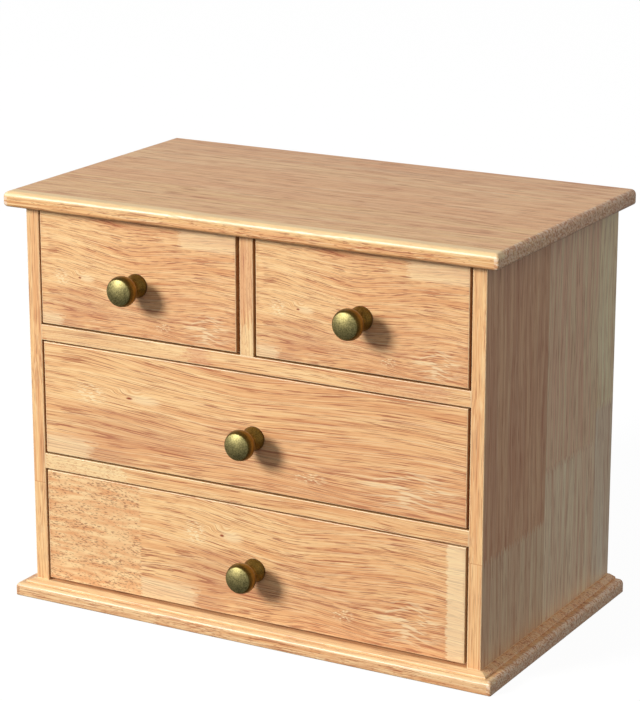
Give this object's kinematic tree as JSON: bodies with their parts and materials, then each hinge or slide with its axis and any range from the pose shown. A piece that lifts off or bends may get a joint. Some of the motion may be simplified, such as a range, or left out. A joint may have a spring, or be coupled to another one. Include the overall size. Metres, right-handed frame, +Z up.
{
  "type": "desktop drawer chest",
  "caption": "Wooden desk chest with small drawers side by side over full-width ones, each pulled out by a round brass knob, between an overhanging top and a moulded base.",
  "frame": {"origin": "centre of the base board's underside", "axes": "+X to the chest's right, -Y out of its front, the way the drawers open, +Z up"},
  "size_m": [0.3568, 0.2205, 0.2799],
  "materials": {
    "solid_wood": "satin clear lacquer on honey-tan hardwood",
    "plywood": "plain sanded thin plywood",
    "dowel_wood": "plain wooden dowel",
    "antique_brass": "aged olive-brown brass, satin",
    "zinc_steel": "zinc-plated steel"
  },
  "bodies": {
    "carcass": {"top_board": "solid_wood", "base_board": "solid_wood", "left_side_panel": "solid_wood", "right_side_panel": "solid_wood", "back_panel": "plywood", "upper_rail": "solid_wood", "lower_rail": "solid_wood", "upper_back_rail": "solid_wood", "centre_divider": "solid_wood", "upper_left_runner": "solid_wood", "upper_right_runner": "solid_wood", "upper_centre_runner": "solid_wood", "lower_left_runner": "solid_wood", "lower_right_runner": "solid_wood", "top_dowels": "dowel_wood", "rail_dowels": "dowel_wood", "runner_pins": "zinc_steel", "back_panel_pins": "zinc_steel", "base_screws": "zinc_steel"},
    "top_left_drawer": {"top_left_drawer_front": "solid_wood", "top_left_drawer_left_side": "solid_wood", "top_left_drawer_right_side": "solid_wood", "top_left_drawer_back": "solid_wood", "top_left_drawer_bottom": "plywood", "top_left_drawer_pins": "zinc_steel", "top_left_drawer_knob": "antique_brass", "top_left_drawer_knob_screw": "zinc_steel"},
    "top_right_drawer": {"top_right_drawer_front": "solid_wood", "top_right_drawer_left_side": "solid_wood", "top_right_drawer_right_side": "solid_wood", "top_right_drawer_back": "solid_wood", "top_right_drawer_bottom": "plywood", "top_right_drawer_pins": "zinc_steel", "top_right_drawer_knob": "antique_brass", "top_right_drawer_knob_screw": "zinc_steel"},
    "middle_drawer": {"middle_drawer_front": "solid_wood", "middle_drawer_left_side": "solid_wood", "middle_drawer_right_side": "solid_wood", "middle_drawer_back": "solid_wood", "middle_drawer_bottom": "plywood", "middle_drawer_pins": "zinc_steel", "middle_drawer_knob": "antique_brass", "middle_drawer_knob_screw": "zinc_steel"},
    "bottom_drawer": {"bottom_drawer_front": "solid_wood", "bottom_drawer_left_side": "solid_wood", "bottom_drawer_right_side": "solid_wood", "bottom_drawer_back": "solid_wood", "bottom_drawer_bottom": "plywood", "bottom_drawer_pins": "zinc_steel", "bottom_drawer_knob": "antique_brass", "bottom_drawer_knob_screw": "zinc_steel"}
  },
  "joints": [
    {"name": "top_left_drawer_slide", "type": "slide", "parent": "carcass", "child": "top_left_drawer", "axis": [0, -1, 0], "range_m": [0, 0.15]},
    {"name": "top_right_drawer_slide", "type": "slide", "parent": "carcass", "child": "top_right_drawer", "axis": [0, -1, 0], "range_m": [0, 0.15]},
    {"name": "middle_drawer_slide", "type": "slide", "parent": "carcass", "child": "middle_drawer", "axis": [0, -1, 0], "range_m": [0, 0.15]},
    {"name": "bottom_drawer_slide", "type": "slide", "parent": "carcass", "child": "bottom_drawer", "axis": [0, -1, 0], "range_m": [0, 0.15]}
  ]
}
